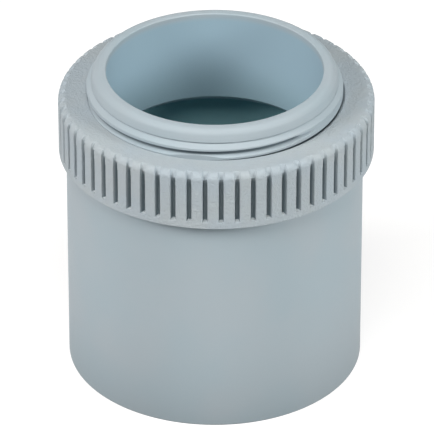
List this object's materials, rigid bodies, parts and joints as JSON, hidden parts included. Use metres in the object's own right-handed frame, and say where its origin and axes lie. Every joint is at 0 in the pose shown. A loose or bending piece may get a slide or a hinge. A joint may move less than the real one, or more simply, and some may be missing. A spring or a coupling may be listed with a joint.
{
  "type": "male conduit adapter",
  "caption": "Round conduit adapter: a plain socket for conduit below, a hollow spigot with an outside thread above, and a ribbed lock ring that clamps a box wall to the shoulder.",
  "frame": {"origin": "centre of the socket's end face, on the axis, where the part stands", "axes": "+Z along the axis from the socket to the threaded end; -Y faces the viewer of the picture"},
  "size_m": [0.0485, 0.0486, 0.0503],
  "materials": {
    "moulding_pvc": "matte moulded grey",
    "ring_pvc": "matte moulded grey"
  },
  "bodies": {
    "adaptor": {"adaptor_body": "moulding_pvc"},
    "ring": {"lock_ring": "ring_pvc"}
  },
  "joints": [
    {"name": "lock_ring_travel", "type": "slide", "parent": "adaptor", "child": "ring", "axis": [0, 0, 1], "range_m": [0, 0.0135]}
  ]
}
